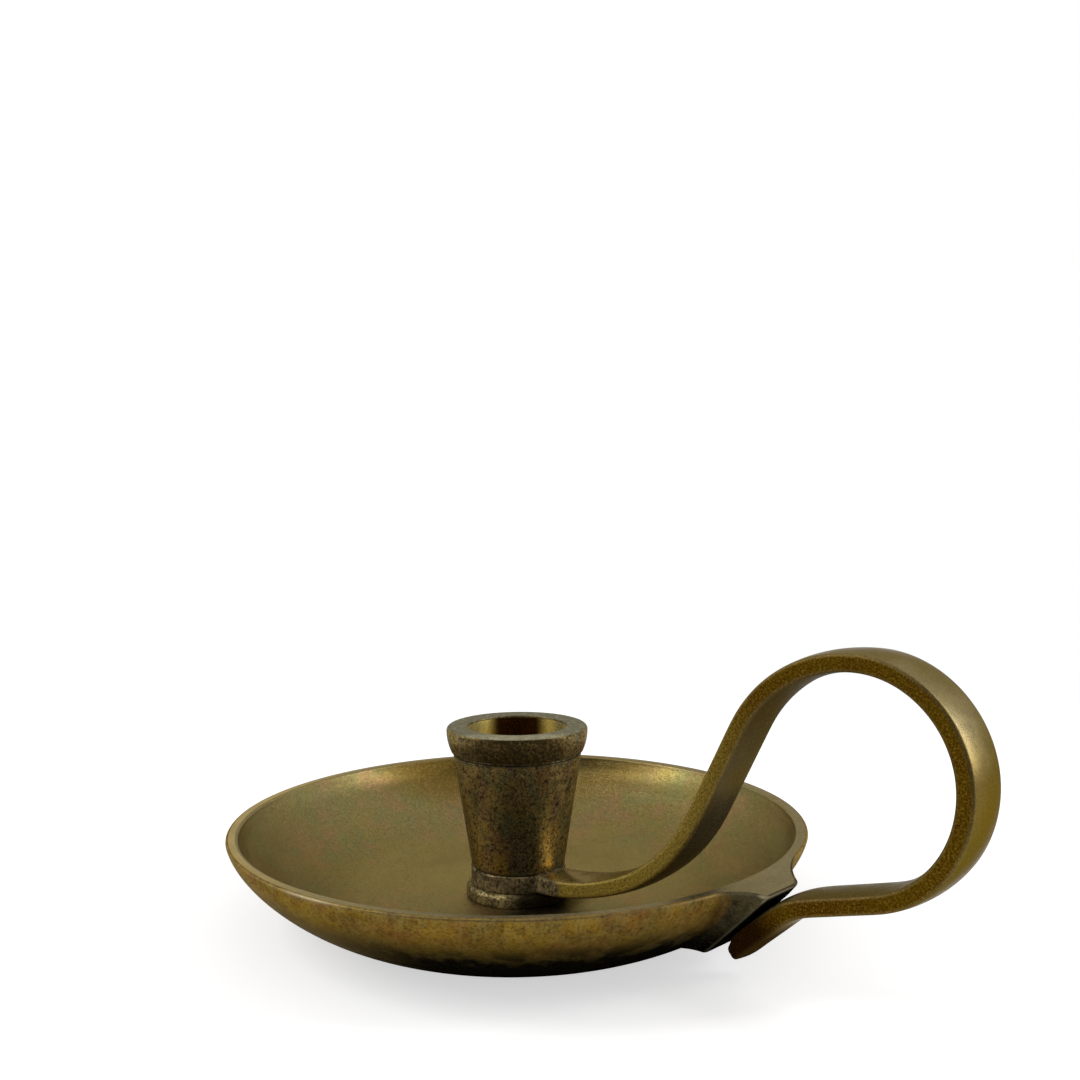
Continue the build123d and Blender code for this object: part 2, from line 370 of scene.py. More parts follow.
def makePan(pan):
    # A ring of rows round one section: from the screw's hole over the floor, up the cove, over the rim, down
    # the wall with its tongue, and under the foot back to the hole. Both walls are cubics.
    top, rim, edge, foot, tip = picked(pan, "height rimRadius edgeRound footRadius lugTip")
    floor, lean, drop, lift = picked(pan, "floorThickness rimLean rimDrop bellyLift")
    hole, head, headRim, holeRound = picked(pan, "screwHole headHole headRim holeRound")
    innerRim, floorRim = rim - pan["rimWidth"], (pan["floorRadius"], floor)
    share = np.linspace(0, 1, 400)
    outerPull, innerPull = (pan["belly"] + pan["bellyWall"], lift), (pan["belly"], floor + lift)
    outerWall = bezier([(rim, top), (rim - lean, top - drop), outerPull, (foot, 0)], share)
    innerWall = bezier([(innerRim, top), (innerRim - lean, top - drop), innerPull, floorRim], share)

    def outerRadius(height):
        return np.interp(height, outerWall[::-1, 1], outerWall[::-1, 0])

    # inside, each point the mean of its neighbours, so that the cove runs softly into the floor
    inside = np.concatenate([run((hole, floor), floorRim, 60)[:-1], innerWall[::-1]])
    length = addUp(np.hypot(*np.diff(inside, axis=0).T))
    lastStep = length[-1] - 2 * edge
    steps = np.linspace(0, lastStep, pan["insideRows"])
    nearby = np.linspace(-1, 1, 21)[:, None] * np.clip(lastStep - steps, 0, pan["coveSoftness"])
    inside = np.stack([np.interp(steps + nearby, length, inside[:, k]).mean(0) for k in (0, 1)], -1)
    inside[0] = (hole, floor)
    inside = np.concatenate([inside, bend((innerRim + edge, top - edge), edge, 180, 90, 6)])
    # outside, from the rim's rounded edge down to the tongue's tip: heights, and how far in from the outline
    turn = np.radians(np.linspace(0, 90, 7))
    tipRound, leastStep, seamStep = pan["tipRound"], 0.2, 0.02
    down = np.interp(np.linspace(0, 1, pan["wallRows"]), share, outerWall[:, 1])
    down = down[(down < top - edge - leastStep) & (down > tip + 2 * tipRound)]
    lugRows = np.concatenate([top - edge * (1 - np.cos(turn)), down, [tip + tipRound, tip]])
    inset = np.concatenate([edge * (1 - np.sin(turn)), np.zeros(len(down) + 1), [0.8 * tipRound]])
    outline = panOutline(pan, lugRows, outerRadius(lugRows), inset)
    topAngle, lowAngle = (np.arctan2(outline[row, :, 1], outline[row, :, 0]) for row in (0, -1))
    # below the tip the wall is round again, and the underside runs in to the screw's countersink
    lower = np.linspace(tip - seamStep, pan["wallEnd"], pan["lowerRows"])
    footRound, crisp = pan["footRound"], 0.05
    underside = chain(
        np.stack([outerRadius(lower), lower], -1),
        bend((foot - pan["footInset"], footRound), footRound, -20, -90, 4),
        run((foot - pan["footEdge"], 0), (head + holeRound, 0), 14),
        [(head, holeRound), (head, headRim)],
        run((head - crisp, headRim + crisp), (hole, floor - pan["holeLand"]), 4),
        [(hole, floor - seamStep)],
    )
    insideGrid, footGrid = goRound(inside, topAngle), goRound(underside, lowAngle)
    outsideGrid = np.dstack([outline, np.broadcast_to(lugRows[:, None], outline.shape[:2])])
    across = np.array([0.06, 0.2, 0.4, 0.6, 0.8, 0.94])[:, None, None]
    rimGrid = insideGrid[-1] * (1 - across) + outsideGrid[0] * across
    parts = (insideGrid, rimGrid, outsideGrid, footGrid)
    grid = np.concatenate(parts)
    # zones by row, then by column where the tongue is
    counts = [len(part) for part in parts]
    marks = {"inside": (1, 0, 0, 0), "outside": (0, 0, 1, 1)}
    zones = {key: np.repeat(mark, counts)[:, None].astype(float) for key, mark in marks.items()}
    columns = np.arange(grid.shape[1])
    fromMiddle = np.minimum(columns, grid.shape[1] - columns)
    cornerAt, flareAt = pan["endColumns"], pan["endColumns"] + pan["cornerColumns"]
    flareEnd = flareAt + pan["flareColumns"]
    wallRows = np.repeat((0, 0, 1, 0), counts)[:, None]
    zones["flank"] = wallRows * (1 - eased(fromMiddle, flareAt + pan["flareColumns"] * 0.6, flareEnd + 4))
    zones["lugEnd"] = wallRows * (1 - eased(fromMiddle, cornerAt, cornerAt + pan["cornerColumns"] * 0.6))
    # a band along the rim's edges and the tongue's corners, for wear and painted glints
    rows = np.arange(len(grid))[:, None]
    rimEdges = (counts[0] - 3, counts[0] + counts[1] + 3)
    wornRim = np.maximum(*(peak(rows, edgeRow, pan["wornRows"]) for edgeRow in rimEdges))
    wornCorner = peak(fromMiddle, (cornerAt + flareAt) / 2, pan["wornColumns"]) * wallRows
    zones["worn"] = np.maximum(wornRim, wornCorner)
    # the wall isn't quite true, but the rim's top and the foot are
    height = grid[..., 2]
    free = eased(height, *pan["unevenFrom"]) * (1 - eased(height, *pan["unevenTo"]))
    makeUneven(grid, pan["unevenness"], free, rim)
    return layPiece("dripPan", *skin(grid, zones, ring=True))


# Seat ring, candle socket

ringSizes = {
    "hole": 2.7, "radius": 11.7, "bottom": 2.9, "top": 5.7, "shoulder": 1.3, "lowerRound": 0.35,
    "columns": 160,
}


def makeRing(ring):
    profile = ringProfile(*picked(ring, "hole radius bottom top shoulder lowerRound"), (12, 10, 2))
    return layPiece("seatRing", *skin(spin(profile, ring["columns"]), {}, ring=True))


socketSizes = {
    "foot": 10.45, "footRound": 0.35, "neck": 14.35, "neckRound": 0.2, "bottom": 9.6, "neckHeight": 34.8,
    "grooveHeight": 0.6, "grooveDepth": 0.4, "grooveRound": 0.1, "collarBase": 14.8, "baseRound": 0.15,
    "collar": 15.85, "collarRound": 0.9, "top": 41.0, "poleRadius": 0.4,
    "bore": 11.1, "boreDepth": 17.0, "mouth": 0.5, "borePoint": 120.0, "thread": 2.5, "threadTop": 16.0,
    "unevenness": 0.05, "unevenTo": 12.0, "toolMark": 0.02, "toolPitch": 0.55, "columns": 224, "boreRows": 72,
    "neckDirt": 0.5, "footDirt": 0.7,  # how far the dirt in a seam reaches
}


def makeSocket(socket):
    # A turned profile from the bore's pointed bottom up its wall, over the collar, down the tapered body and
    # into the tapped foot. The bore keeps the tool's feed marks: a wave of one pitch along its height. The
    # collar swells along an arc that is upright at its shoulder.
    bore, top, mouth, pole, thread, threadTop = picked(socket, "bore top mouth poleRadius thread threadTop")
    neck, neckTop, neckRound, small = picked(socket, "neck neckHeight neckRound grooveRound")
    foot, bottom, footRound, collar, collarRound = picked(socket, "foot bottom footRound collar collarRound")
    boreFoot, halfPoint = top - socket["boreDepth"], radians(socket["borePoint"] / 2)
    point = boreFoot - bore / tan(halfPoint)
    shoulder, collarFoot = top - collarRound, neckTop + socket["grooveHeight"]
    groove = neck - socket["grooveDepth"]
    rise, swell = shoulder - collarFoot, collar - socket["collarBase"]
    bulge = (rise**2 + swell**2) / (2 * swell)
    sweep = np.degrees(np.arcsin(rise / bulge))
    wall = np.linspace(boreFoot + 0.2, top - mouth - 0.1, socket["boreRows"])
    inner = chain(
        run((pole, point + pole / tan(halfPoint)), (bore, boreFoot), 10),
        np.stack([np.full(len(wall), bore), wall], -1),
    )
    feed = np.sin(inner[:, 1] * 2 * pi / socket["toolPitch"])
    inner[:, 0] += socket["toolMark"] * feed * (inner[:, 0] > bore - 0.01)
    outer = chain(
        bend((bore + mouth, top - mouth), mouth, 180, 90, 6),
        run((bore + mouth, top), (collar - collarRound, top), 10),
        bend((collar - collarRound, shoulder), collarRound, 90, 0, 8),
        bend((collar - bulge, shoulder), bulge, 0, -sweep, 16),
        [(socket["collarBase"] - socket["baseRound"], collarFoot)],
        [(groove + small, collarFoot), (groove, collarFoot - small)],
        [(groove, neckTop + small), (groove + small, neckTop), (neck - neckRound, neckTop)],
        run((neck, neckTop - neckRound), (foot, bottom + footRound), 56),
        bend((foot - footRound, bottom + footRound), footRound, 0, -90, 4),
        run((foot - footRound, bottom), (thread, bottom), 8),
        run((thread, bottom + 0.1), (thread, threadTop), 5),
        [(pole, threadTop)],
    )
    profile = np.concatenate([inner, outer])
    radius, height = profile.T
    isOuter = np.arange(len(profile)) >= len(inner)
    dirt = np.maximum(peak(height, neckTop, socket["neckDirt"]), peak(height, bottom, socket["footDirt"]))
    zones = {
        "bore": ~isOuter, "mouth": isOuter & (height > top - 0.3),
        "collar": isOuter & (height > collarFoot - 0.05), "seam": isOuter * dirt,
    }
    zones = {key: zone[:, None].astype(float) for key, zone in zones.items()}
    grid = spin(profile, socket["columns"])
    body = isOuter & (height < neckTop - 0.1) & (radius > 9)
    free = body * eased(height, bottom, socket["unevenTo"])
    makeUneven(grid, socket["unevenness"], free[:, None], neck)
    poles = ((0, (0, 0, point)), (-1, (0, 0, threadTop)))
    return layPiece("candleSocket", *skin(grid, zones, poles=poles))


# Handle: the strap along its path, and the eye that it grows out of

handleSizes = {
    "eyeRadius": 10.6, "eyeHole": 2.55, "eyeBottom": 5.7, "eyeTop": 9.6, "eyeRound": 0.4, "eyeColumns": 128,
    "width": 10.4, "thickness": 3.4, "edgeRound": 0.75, "crown": 0.34, "endRound": 0.5,
    "rootThickness": 3.86, "rootBlend": 1.5, "rootWidth": 9.2, "rootEnd": 5.0, "rootFrom": (8, 26),
    "tailHeight": 7.0, "tailGap": 0.35, "tailThickness": 3.85, "tailTo": (11, 21), "tailBevel": (1.3, 2.9),
    "tailSplay": 3.0, "tailRun": 13.15, "tailBend": 16.0,
    "floorSlope": 16.0, "floorRun": 14.35, "lowerRadius": 22.0, "frontRadius": 19.7, "topRadius": 27.7,
    "riserSlope": 62.0, "riseRadius": 40.0, "rootSlope": 22.0, "rootRadius": 69.0,
    "step": 0.25, "fineStep": 0.01, "bendSoftness": 4.0, "stationStep": 0.75, "unevenness": 0.07,
    "wornRow": 10, "wornRows": 2.0, "sharpFrom": 40.0,
}


def followPath(start, heading, steps, step, softness):
    # A path from lengths and turns: a step (length, 0) is straight, a step (radius, degrees) is an arc, left
    # positive. The turn per millimetre is averaged over the softness and added up to the heading, and the
    # heading's cosine and sine are added up to the places.
    lengths = [size * abs(radians(turn)) if turn else size for size, turn in steps]
    bends = [np.sign(turn) / size if turn else 0 for size, turn in steps]
    edges, total = addUp(lengths), addUp(np.array(bends) * lengths)
    s = np.arange(0, edges[-1], step)
    reach = np.linspace(-softness / 2, softness / 2, 21)[:, None]
    angle = heading + np.interp(s + step / 2 + reach, edges, total).mean(0)
    moves = step * np.stack([np.cos(angle), np.sin(angle)], -1)
    places = np.asarray(start) + np.concatenate([[(0, 0)], np.cumsum(moves, axis=0)])
    return places, np.append(angle, angle[-1])


def strapPath(handle, pan):
    # from the tail, which lies along the tongue's end, round the loop and down the riser into the eye
    slope, fine = radians(pan["lugSlope"]), handle["fineStep"]
    faceX = pan["rimRadius"] + pan["lugReach"] - (pan["height"] - handle["tailHeight"]) / tan(slope)
    start = (faceX + (handle["tailGap"] + handle["tailThickness"] / 2) / sin(slope), handle["tailHeight"])
    tailSlope = pan["lugSlope"] - handle["tailSplay"]
    tailRun, tailBend, floorRun = picked(handle, "tailRun tailBend floorRun")
    floorSlope, riserSlope, rootSlope = picked(handle, "floorSlope riserSlope rootSlope")
    lower, front, over, rise, root = picked(handle, "lowerRadius frontRadius topRadius riseRadius rootRadius")
    steps = [
        (tailRun, 0), (tailBend, floorSlope - tailSlope), (floorRun, 0),
        (lower, 90 - floorSlope), (front, 90), (over, riserSlope),
    ]
    # the riser is as long as it takes to come down to the level of the eye's middle
    places, _ = followPath(start, radians(tailSlope), steps, fine, fine)
    drop = root * (1 - cos(radians(rootSlope)))
    drop += rise * (cos(radians(rootSlope)) - cos(radians(riserSlope)))
    level = (handle["eyeBottom"] + handle["eyeTop"]) / 2
    riser = (places[-1, 1] - level - drop) / sin(radians(riserSlope))
    steps += [(riser, 0), (rise, rootSlope - riserSlope), (root, -rootSlope)]
    places, _ = followPath(start, radians(tailSlope), steps, fine, fine)
    steps.append((places[-1, 0] - handle["rootEnd"], 0))
    return followPath(start, radians(tailSlope), steps, handle["step"], handle["bendSoftness"])


def strapSection():
    # A rounded rectangle as shares: where a point's corner centre sits across the width and the thickness,
    # and which way it points from there. Wide faces, narrow faces and corners follow round the loop.
    corner = np.radians(np.linspace(0, 90, 6))
    wide = np.array([0.97, 0.85, 0.68, 0.5, 0.3, 0.1, -0.1, -0.3, -0.5, -0.68, -0.85, -0.97])
    narrow = np.array([0.8, 0.4, 0, -0.4, -0.8])
    parts = []
    for side, (signA, signB) in enumerate(((1, 1), (-1, 1), (-1, -1), (1, -1))):
        turn = corner + side * pi / 2
        flat = (signA, signB * narrow, signA, 0) if side % 2 else (signA * wide, signB, 0, signB)
        for part in ((signA, signB, np.cos(turn), np.sin(turn)), flat):
            parts.append(np.stack(np.broadcast_arrays(*part)))
    return np.hstack(parts).astype(float)


def makeHandle(handle, pan):
    # the section carried along the path, with its sizes eased between root, loop and tail
    fine, angles = strapPath(handle, pan)
    ends = np.arange(len(fine)) * handle["step"]
    length, endRound = ends[-1], handle["endRound"]
    count = int(len(fine) * handle["step"] / handle["stationStep"])
    atEnd = endRound * np.array([0, 0.08, 0.28, 0.58])
    s = np.concatenate([atEnd, np.linspace(endRound, length, count)])[:, None]
    x, z, heading = (np.interp(s, ends, values) for values in (*fine.T, angles))
    # Near the eye the strap thickens, and each side spreads along an arc that touches the side and the eye's
    # edge, inside which it narrows again. At the tail's end its edges are rounded over.
    isRoot = s > length / 2
    root = (1 - eased(x, *handle["rootFrom"])) * isRoot
    blend, side, eyeRadius = handle["rootBlend"], handle["rootWidth"] / 2, handle["eyeRadius"]
    sideX = np.sqrt((eyeRadius + blend) ** 2 - (side + blend) ** 2)
    eyeX = sideX * eyeRadius / (eyeRadius + blend)
    spread = blend - np.sqrt(blend**2 - np.clip(sideX - x, 0, sideX - eyeX) ** 2) - np.maximum(eyeX - x, 0)
    toEnd = np.maximum(endRound - s, 0)
    shrunk = endRound - np.sqrt(np.maximum(endRound**2 - toEnd**2, 0))
    waves = ((0.21, 1), (0.47, 0), (0.083, 2))
    wobble = handle["unevenness"] * sum(np.sin(s * rate + phase) for rate, phase in waves) / len(waves)
    half, thick = handle["width"] / 2, handle["thickness"]
    halfWidth = half + (side - half) * root + spread * isRoot - shrunk + wobble
    atTail = 1 - eased(s, *handle["tailTo"])
    thick = thick + (handle["rootThickness"] - thick) * root + (handle["tailThickness"] - thick) * atTail
    halfThick = thick / 2 - shrunk - wobble * 0.4
    atA, atB, toA, toB = strapSection()
    edge = handle["edgeRound"]
    across = atA * (halfWidth - edge) + edge * toA
    crown = handle["crown"] * (1 - atA**2) * np.sign(atB) * (np.abs(atA) < 1)
    cut, cutLength = handle["tailBevel"]
    bevel = cut * np.maximum(1 - s / cutLength, 0) * (1 + atB) / 2
    off = atB * (halfThick - edge) + edge * toB + crown - bevel
    grid = np.stack([x - off * np.sin(heading), across, z + off * np.cos(heading)], -1)
    narrow = np.abs(toA) * (np.abs(atA) == 1)
    zones = {"narrow": narrow, "worn": np.abs(2 * toA * toB), "loopInside": toB > 0.3}
    poles = ((0, (x[0, 0], 0, z[0, 0])), (-1, (x[-1, 0], 0, z[-1, 0])))
    strap = layPiece("loopHandle", *skin(grid, zones, poles=poles))
    # the eye, joined to the strap
    eyeSizes = picked(handle, "eyeHole eyeRadius eyeBottom eyeTop eyeRound eyeRound")
    profile = ringProfile(*eyeSizes, (8, 5, 5))
    upperEdge = peak(np.arange(len(profile)), handle["wornRow"], handle["wornRows"])[:, None]
    # the eye's upper edge takes the band twice over, a painted highlight along it
    eyeZones = {"narrow": np.zeros(1), "worn": 2 * upperEdge, "loopInside": np.zeros(1)}
    eye = layPiece("eyeToJoin", *skin(spin(profile, handle["eyeColumns"]), eyeZones, ring=True))
    join = strap.modifiers.new("join", "BOOLEAN")
    join.operation, join.object, join.solver = "UNION", eye, "EXACT"
    joined = bpy.data.meshes.new_from_object(strap.evaluated_get(bpy.context.evaluated_depsgraph_get()))
    strap.modifiers.clear()
    strap.data = joined
    bpy.data.objects.remove(eye)
    joined.polygons.foreach_set("use_smooth", np.ones(len(joined.polygons), bool))
    joined.set_sharp_from_angle(angle=radians(handle["sharpFrom"]))
    return strap


# Finishes, all aged brass. In the looks a ground is two colours and a coat over it is (share, colour). The
# spans, which run from none to all, the sizes of clouds and the depth of the relief are in millimetres.

panLooks = {
    "inside": {
        "ground": ((0.128, 0.096, 0.058), (0.187, 0.142, 0.038)),
        "cloud": (0.5, (0.155, 0.132, 0.055)), "warm": (0.85, (0.215, 0.128, 0.055)),
        "cool": (0.5, (0.12, 0.135, 0.052)), "stain": (0.9, (0.14, 0.082, 0.008)),
        "sides": (0.4, (0.09, 0.07, 0.032)), "rubbed": (1, (0.335, 0.258, 0.092)),
        "light": (0.38, (0.32, 0.25, 0.092)), "dark": (0.5, (0.085, 0.06, 0.02)),
        "underStrap": (0.95, (0.012, 0.008, 0.004)),
    },
    "wall": {
        "ground": ((0.245, 0.143, 0.016), (0.152, 0.086, 0.011)),
        "warm": (0.7, (0.19, 0.075, 0.02)), "cool": (0.4, (0.105, 0.096, 0.035)),
        "streak": (0.4, (0.28, 0.2, 0.05)), "dark": (0.65, (0.04, 0.022, 0.006)),
        "light": (0.4, (0.3, 0.21, 0.055)), "low": (0.8, (0.045, 0.026, 0.006)),
        "tarnish": (1, (0.003, 0.002, 0.001)),
    },
    "rim": {
        "ground": ((0.46, 0.34, 0.14), (0.145, 0.117, 0.07)), "cloud": (0.4, (0.19, 0.165, 0.105)),
        "light": (0.35, (0.36, 0.3, 0.18)), "dark": (0.3, (0.1, 0.075, 0.03)),
    },
    "flank": {
        "ground": ((0.08, 0.068, 0.03), (0.03, 0.022, 0.014)),
        "light": (0.6, (0.17, 0.135, 0.055)), "low": (1, (0.004, 0.003, 0.002)),
    },
    "edges": {
        # lugEnd: painted shade, black
        "lugEnd": (1, (0.002, 0.0015, 0.001)), "worn": (1, (0.42, 0.36, 0.22)),
        "marks": (1, (0.36, 0.31, 0.17)),
    },
    "lowAngleTint": (0.68, 0.62, 0.46), "relief": 0.04,
    "sizes": {"cloud": 24, "warm": 9, "cool": 7, "blotch": 4.5, "streak": 1.6, "grain": 0.6, "marks": 2},
    "spans": {
        "toBack": (-50, 50), "stainBack": (62, 78), "sidesBack": (0, 50), "rubbedBack": (-30, 25),
        "upperWall": (6, 13), "lowWall": (9.5, 18.5), "lowFlank": (7, 16), "tarnishTop": (8, 14.5),
        "tarnishRight": (-62, -20), "rimRight": (-90, -20), "rubbedFloor": (33, 46), "mattFloor": (30, 44),
        "strapStart": (7, 11), "strapShade": (13.5, 18.5),
        "nickFrom": (0, 6), "nickTo": (19, 11), "nickFront": (-50, -58),
        "cornerEnd": (68, 69.5), "cornerNear": (4, 0), "cornerTop": (18, 19),
    },
}


def panFinish(looks):
    paint = newPaint("panBrass", looks)
    x, y, height = (paint.along(axis) for axis in "XYZ")
    toBack, toRight, fromAxis = y - x, x + y, paint.length(paint.drawn((1, 1, 0)))
    outside, flankZone, endZone = (paint.zone(name) for name in ("outside", "flank", "lugEnd"))
    cloud, blotch = paint.patches("cloud", 0.38, 0.62, 3), paint.patches("blotch")
    warm = paint.patches("warm", 0.45, 0.62, turn=(0, 0, 77))
    cool = paint.patches("cool", 0.48, 0.64, turn=(0, 50, 20))
    streak = paint.patches("streak", 0.42, 0.62, 2, scale=(1, 1, 0.1))
    grain = paint.noise("grain", 3, 0.7)
    light, dark = paint.between(grain, 0.5, 0.68), paint.between(grain, 0.5, 0.34)
    # inside: olive, greyer in front, with a painted pool of light on the floor, strongest at the back, and an
    # ochre stain on the wall at the back
    upper = paint.span(height, "upperWall")
    onFloor, behind = 1 - paint.span(fromAxis, "rubbedFloor"), paint.span(toBack, "rubbedBack")
    inside = paint.layered(
        "inside", paint.span(toBack, "toBack"), cloud=cloud, warm=warm, cool=cool,
        # sides: painted shade on the upper inner wall, except at the back
        stain=paint.span(toBack, "stainBack") * upper, sides=(1 - paint.span(toBack, "sidesBack")) * upper,
        rubbed=onFloor * (0.04 + 0.74 * behind), light=light, dark=dark,
        # painted shadow, nearly black, on the floor under the strap's root
        underStrap=paint.span(x, "strapStart") * (1 - paint.span(fromAxis, "strapShade")),
    )
    # outside: brown, with painted shade darkening it downwards and painted black where it nears the table, as
    # the shadow it reflects there, though less so on the left
    tarnish = 1 - paint.span(height + (blotch - 0.5) * (2 * mm), "tarnishTop")
    tarnish = tarnish * (0.15 + 0.85 * paint.span(toRight, "tarnishRight"))
    wall = paint.layered(
        "wall", blotch, warm=warm, cool=cool, streak=streak, dark=dark, light=light,
        low=1 - paint.span(height, "lowWall"), tarnish=tarnish,
    )
    # the rim's top painted lighter on the left, where the light falls on it
    rim = paint.layered("rim", paint.span(toRight, "rimRight"), cloud=cloud, light=light, dark=dark)
    # the tongue's sides are dark and mottled, painted black with shade low down, and its end is painted black
    # as the shade on it
    flank = paint.layered("flank", blotch, light=light, low=1 - paint.span(height, "lowFlank"))
    colour = paint.mixed(paint.zone("inside"), rim, inside)
    colour = paint.mixed(outside, colour, wall)
    colour = paint.mixed(flankZone, colour, flank)
    # edges lightened by wear, with painted highlights on the rim's front left and on the tongue's near corner
    nick = paint.span(x, "nickFrom") * paint.span(x, "nickTo") * paint.span(y, "nickFront")
    nick = nick + paint.span(x, "cornerEnd") * paint.span(y, "cornerNear") * paint.span(height, "cornerTop")
    worn = paint.zone("worn") * (0.16 + 0.6 * nick)
    marks = scratches(paint, (12, 71, 133), 0.62)
    colour = paint.coated(colour, "edges", lugEnd=endZone, worn=worn, marks=marks * (0.32 - 0.26 * outside))
    bare = (0.92 - 0.3 * outside) * (1 - 0.85 * flankZone) * (1 - endZone) * (1 - tarnish * outside)
    rough = 0.28 + 0.05 * blotch + 0.14 * outside + 0.05 * light
    rough = rough + 0.1 * (1 - paint.span(fromAxis, "mattFloor"))
    return paint.finish(colour, bare, rough, grain * (0.6 + 0.4 * outside) - marks * 0.2)


ringLooks = {
    "metal": {
        "ground": ((0.58, 0.45, 0.19), (0.3, 0.235, 0.1)),
        "left": (0.8, (0.1, 0.073, 0.026)), "light": (0.55, (0.6, 0.51, 0.29)),
        "dark": (0.8, (0.04, 0.03, 0.015)), "underStrap": (0.95, (0.015, 0.01, 0.005)),
    },
    "lowAngleTint": (0.55, 0.5, 0.42), "relief": 0.12,
    "sizes": {"blotch": 2.2, "grain": 0.6}, "spans": {"left": (3, 10), "strapStart": (5, 9)},
}


def ringFinish(looks):
    # patchy from wear, painted shade darker on the left, and a painted shadow, nearly black, under the strap
    paint = newPaint("ringBrass", looks)
    x, y = paint.along("X"), paint.along("Y")
    blotch, grain = paint.patches("blotch"), paint.noise("grain", 3, 0.7)
    colour = paint.layered(
        # left: painted shade
        "metal", blotch, left=paint.span(-1 * (x + y), "left"), light=paint.between(grain, 0.52, 0.66),
        dark=paint.between(grain, 0.5, 0.38), underStrap=paint.span(x, "strapStart"),
    )
    return paint.finish(colour, 0.4 - 0.15 * blotch, 0.3 + 0.2 * blotch, grain)


socketLooks = {
    "body": {
        "ground": ((0.22, 0.175, 0.075), (0.36, 0.23, 0.05)), "bands": (0.5, (0.66, 0.48, 0.19)),
        "purple": (0.6, (0.2, 0.135, 0.125)), "green": (0.6, (0.14, 0.18, 0.11)),
        "shade": (1, (0.05, 0.03, 0.007)), "pits": (0.8, (0.025, 0.019, 0.012)),
        "light": (1, (0.56, 0.42, 0.17)), "dark": (0.6, (0.025, 0.02, 0.014)),
    },
    "mouth": {
        "ground": ((0.19, 0.18, 0.115), (0.4, 0.37, 0.24)), "blotch": (0.45, (0.17, 0.15, 0.09)),
        "light": (0.5, (0.44, 0.4, 0.27)), "dark": (0.5, (0.09, 0.08, 0.05)),
    },
    "bore": {"ground": ((0.9, 0.78, 0.34), (0.8, 0.68, 0.26)), "soot": (1, (0.035, 0.014, 0.002))},
    "edges": {"seam": (0.8, (0.02, 0.014, 0.007))},
    "lowAngleTint": (0.55, 0.5, 0.42), "relief": 0.09,
    "sizes": {"purple": 4.5, "green": 3.6, "gold": 5, "blotch": 2.4, "coarse": 0.95, "grain": 0.5},
    "spans": {"bands": (9.8, 12.8), "front": (12, 20), "soot": (11.7, 14.6)},
}


def socketFinish(looks):
    # mottled body with a painted reflection of the pan in a band on either side, painted shade on the collar,
    # a grey mouth and painted shade on the bore's far wall
    paint = newPaint("socketBrass", looks)
    x, y = paint.along("X"), paint.along("Y")
    boreZone, mouthZone, seam = (paint.zone(name) for name in ("bore", "mouth", "seam"))
    purple = paint.patches("purple", 0.46, 0.6, scale=(1, 1, 0.5))
    green = paint.patches("green", 0.47, 0.6, scale=(1, 1, 0.6), turn=(0, 0, 40))
    gold = paint.patches("gold", 0.46, 0.62, scale=(1, 1, 0.3), turn=(0, 0, 75))
    blotch = paint.patches("blotch")
    coarse, grain = paint.noise("coarse", 2, 0.7), paint.noise("grain", 2, 0.7)
    front = paint.span(x - y, "front")
    shade = paint.zone("collar") * (0.5 + 0.45 * front)
    body = paint.layered(
        "body", gold, bands=paint.span(-1 * y, "bands") + paint.span(x, "bands"), purple=purple, green=green,
        shade=shade, pits=paint.between(coarse, 0.5, 0.34),
        light=paint.between(grain, 0.5, 0.68) * (0.6 - 0.42 * shade), dark=paint.between(grain, 0.48, 0.34),
    )
    mouth = paint.layered(
        "mouth", front, blotch=blotch,
        light=paint.between(coarse, 0.5, 0.66), dark=paint.between(grain, 0.5, 0.36),
    )
    # painted shade on the bore's far wall
    bore = paint.layered("bore", blotch, soot=paint.span(y - x, "soot"))
    colour = paint.mixed(mouthZone, body, mouth)
    colour = paint.mixed(boreZone, colour, bore)
    colour = paint.coated(colour, "edges", seam=seam)
    bare = (0.88 - 0.6 * mouthZone - 0.08 * boreZone) * (1 - 0.6 * seam)
    bare = bare * (1 - 0.6 * shade * (1 - mouthZone))
    relief = (grain + coarse) * (0.5 - 0.45 * boreZone) + blotch * 0.2
    return paint.finish(colour, bare, 0.24 + 0.1 * blotch + 0.2 * mouthZone, relief)


handleLooks = {
    "narrow": {
        "ground": ((0.1, 0.054, 0.002), (0.085, 0.033, 0.002)), "rubbed": (0.9, (0.38, 0.275, 0.05)),
        "tail": (1, (0.025, 0.008, 0.001)), "dark": (0.7, (0.025, 0.012, 0.001)),
    },
    "gold": {"ground": ((0.29, 0.18, 0.025), (0.66, 0.5, 0.13))},
    "wide": {
        "ground": ((0.17, 0.118, 0.034), (0.26, 0.21, 0.115)), "root": (1, (0.42, 0.32, 0.15)),
        "cloud": (0.4, (0.15, 0.12, 0.04)), "light": (0.25, (0.26, 0.205, 0.08)),
        "dark": (0.25, (0.07, 0.05, 0.02)), "under": (0.9, (0.05, 0.024, 0.005)),
    },
    "hollow": {
        "ground": ((0.15, 0.1, 0.038), (0.13, 0.104, 0.054)), "warm": (0.5, (0.1, 0.08, 0.04)),
        "high": (0.75, (0.055, 0.036, 0.012)), "front": (0.6, (0.085, 0.066, 0.024)),
    },
    "eye": {
        "ground": ((0.24, 0.18, 0.085), (0.1, 0.075, 0.04)),
        "pits": (0.85, (0.035, 0.026, 0.013)), "crests": (0.5, (0.46, 0.37, 0.19)),
    },
    "edges": {"worn": (1, (0.34, 0.27, 0.12))},
    "lowAngleTint": (0.46, 0.42, 0.35), "relief": 0.07,
    "sizes": {"cloud": 12, "warm": 7, "blotch": 2.6, "grain": 0.4, "pitted": 0.7},
    "spans": {
        "eye": (10.8, 13), "root": (20, 34), "rubbed": (42, 70), "front": (60, 72), "high": (30, 52),
        "top": (44, 59), "tailStart": (50, 56), "tailEdge": (10.5, 20.5), "tailUnder": (9, 18),
    },
    "tailFrom": 70.0, "eyeFlare": 6.0,
}


